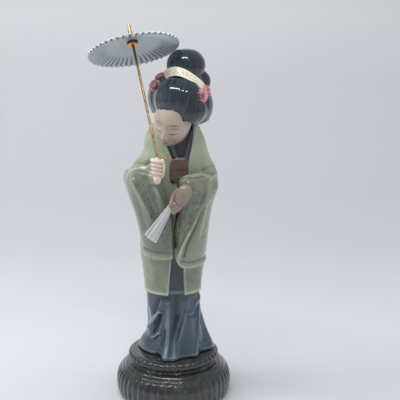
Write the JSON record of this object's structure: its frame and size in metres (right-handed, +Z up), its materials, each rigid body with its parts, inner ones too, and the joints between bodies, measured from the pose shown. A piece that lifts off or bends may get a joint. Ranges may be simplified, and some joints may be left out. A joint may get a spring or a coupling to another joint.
{
  "type": "geisha figurine",
  "caption": "Glazed porcelain figurine of a standing woman in a kimono and coat, holding a parasol on a brass rod and a closed fan, on a round lobed plinth.",
  "frame": {"origin": "centre of the plinth's flat underside", "axes": "+Z up, the figure looks along -Y, +X is on its left-hand side"},
  "size_m": [0.1093, 0.095, 0.2989],
  "materials": {
    "figure_glaze": "gloss",
    "plinth_glaze": "gloss",
    "flower_bisque": "satin",
    "fan_glaze": "satin",
    "canopy_glaze": "satin",
    "brass": "polished"
  },
  "bodies": {
    "root": {"base": "plinth_glaze", "figure": "figure_glaze", "flower_left_upper": "flower_bisque", "flower_left_lower": "flower_bisque", "flower_right_front": "flower_bisque", "flower_right_rear": "flower_bisque", "fan": "fan_glaze", "parasol_rod": "brass", "parasol_boss": "brass", "parasol_canopy": "canopy_glaze", "parasol_ferrule": "brass"}
  },
  "joints": []
}
